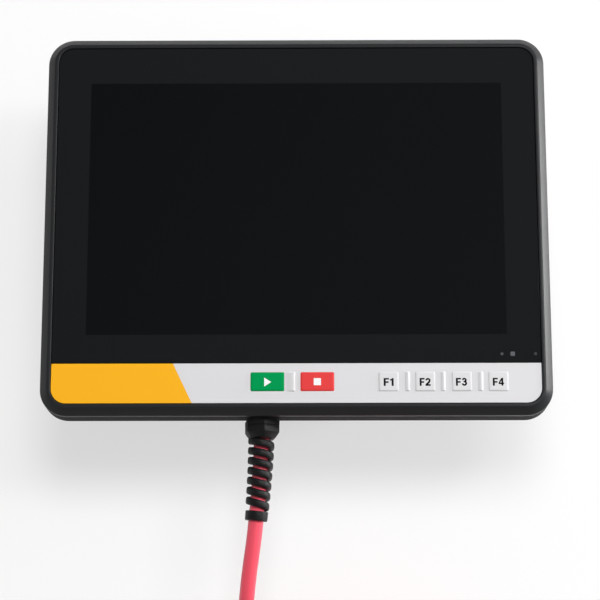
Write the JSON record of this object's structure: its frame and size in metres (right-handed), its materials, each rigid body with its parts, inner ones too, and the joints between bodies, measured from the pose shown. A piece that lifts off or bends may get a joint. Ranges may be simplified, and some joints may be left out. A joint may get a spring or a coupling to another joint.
{
  "type": "teach pendant",
  "caption": "Hand-held 10 inch touch teach pendant with keypad strip, rear hump with enabling switches and hand strap, rear emergency stop and a coiled cable with plug.",
  "frame": {"origin": "on the table, under the middle of the housing, which lies on its back on four rubber feet", "axes": "+X to the right of the screen, +Y to its top edge, +Z out of the screen"},
  "size_m": [0.3043, 0.4495, 0.088],
  "materials": {
    "bezel_plastic": "fine satin texture",
    "glass_black": "black printed cover glass, gloss",
    "overlay_film": "light grey film with an orange field at its left end",
    "key_green": "embossed green key, white start triangle",
    "key_red": "embossed red key, white stop square",
    "key_grey": "embossed light grey key, black legend",
    "housing_plastic": "moulded, fine texture",
    "rubber_black": "matt",
    "display": "polarised panel",
    "steel": "zinc plated",
    "aluminium_plate": "mill finish",
    "circuit_board": "solder mask",
    "socket_plastic": "natural nylon",
    "brass_gold": "gold plated",
    "strap_webbing": "woven webbing",
    "pad_fabric": "padded mesh fabric",
    "enable_grey": "soft touch grey",
    "stop_red": "gloss red",
    "stop_yellow": "gloss yellow",
    "gland_nylon": "black nylon, grained",
    "cable_red": "pinkish red polyurethane sheath",
    "tie_black": "hook and loop tie",
    "plug_metal": "nickel plated, satin",
    "dome_steel": "polished",
    "clear_plastic": "clear light pipe"
  },
  "bodies": {
    "root": {"front_bezel": "bezel_plastic", "cover_glass": "glass_black", "glass_gasket": "rubber_black", "display_panel": "display", "backlight": "aluminium_plate", "light_pipes": "clear_plastic", "keypad_overlay": "overlay_film", "keypad_carrier": "housing_plastic", "key_domes": "dome_steel", "keypad_board": "circuit_board", "chassis_plate": "aluminium_plate", "board_standoffs": "brass_gold", "main_board": "circuit_board", "heat_sink": "aluminium_plate", "board_sockets": "socket_plastic", "keypad_ribbon": "socket_plastic", "rear_housing": "housing_plastic", "hump_cover": "housing_plastic", "hump_screws": "steel", "housing_seal": "rubber_black", "housing_screws": "steel", "strap_bracket_top": "housing_plastic", "strap_bracket_bottom": "housing_plastic", "bracket_screws": "steel", "strap_pins": "steel", "rubber_feet": "rubber_black", "hand_strap": "strap_webbing", "strap_pad": "pad_fabric", "enable_switch_right": "socket_plastic", "enable_switch_left": "socket_plastic", "estop_collar": "stop_yellow", "estop_nut": "steel", "estop_contact_block": "socket_plastic", "gland_seal": "rubber_black", "gland_body": "gland_nylon", "gland_insert": "rubber_black", "gland_locknut": "gland_nylon", "spiral_relief": "gland_nylon", "cable": "cable_red", "cable_tail": "cable_red", "cable_coil": "cable_red", "coil_ties": "tie_black", "plug_backshell": "gland_nylon", "plug_barrel": "plug_metal", "plug_insert": "gland_nylon", "plug_contacts": "brass_gold"},
    "start_key": {"start_key": "key_green"},
    "stop_key": {"stop_key": "key_red"},
    "f1_key": {"f1_key": "key_grey"},
    "f2_key": {"f2_key": "key_grey"},
    "f3_key": {"f3_key": "key_grey"},
    "f4_key": {"f4_key": "key_grey"},
    "enable_button_right": {"enable_button_right": "enable_grey"},
    "enable_button_left": {"enable_button_left": "enable_grey"},
    "estop_stem": {"estop_stem": "socket_plastic"},
    "estop_head": {"estop_head": "stop_red"},
    "plug_coupling_ring": {"plug_coupling_ring": "plug_metal"}
  },
  "joints": [
    {"name": "start_key_press", "type": "slide", "parent": "root", "child": "start_key", "axis": [0, 0, -1], "range_m": [0, 0.0005], "stiffness_N_per_m": 4000},
    {"name": "stop_key_press", "type": "slide", "parent": "root", "child": "stop_key", "axis": [0, 0, -1], "range_m": [0, 0.0005], "stiffness_N_per_m": 4000},
    {"name": "f1_key_press", "type": "slide", "parent": "root", "child": "f1_key", "axis": [0, 0, -1], "range_m": [0, 0.0005], "stiffness_N_per_m": 4000},
    {"name": "f2_key_press", "type": "slide", "parent": "root", "child": "f2_key", "axis": [0, 0, -1], "range_m": [0, 0.0005], "stiffness_N_per_m": 4000},
    {"name": "f3_key_press", "type": "slide", "parent": "root", "child": "f3_key", "axis": [0, 0, -1], "range_m": [0, 0.0005], "stiffness_N_per_m": 4000},
    {"name": "f4_key_press", "type": "slide", "parent": "root", "child": "f4_key", "axis": [0, 0, -1], "range_m": [0, 0.0005], "stiffness_N_per_m": 4000},
    {"name": "enable_right_squeeze", "type": "slide", "parent": "root", "child": "enable_button_right", "axis": [-1, 0, 0], "range_m": [0, 0.004], "stiffness_N_per_m": 1500},
    {"name": "enable_left_squeeze", "type": "slide", "parent": "root", "child": "enable_button_left", "axis": [1, 0, 0], "range_m": [0, 0.004], "stiffness_N_per_m": 1500},
    {"name": "estop_push", "type": "slide", "parent": "root", "child": "estop_stem", "axis": [0, 0, 1], "range_m": [0, 0.004]},
    {"name": "estop_twist", "type": "hinge", "parent": "estop_stem", "child": "estop_head", "pos_m": [0.088, 0.05, 0.036], "axis": [0, 0, -1], "range_deg": [0, 45], "stiffness_Nm_per_rad": 0.05},
    {"name": "plug_ring_turn", "type": "hinge", "parent": "root", "child": "plug_coupling_ring", "pos_m": [0.1473, -0.333, 0.0132], "axis": [1, 0, 0], "continuous": true}
  ]
}
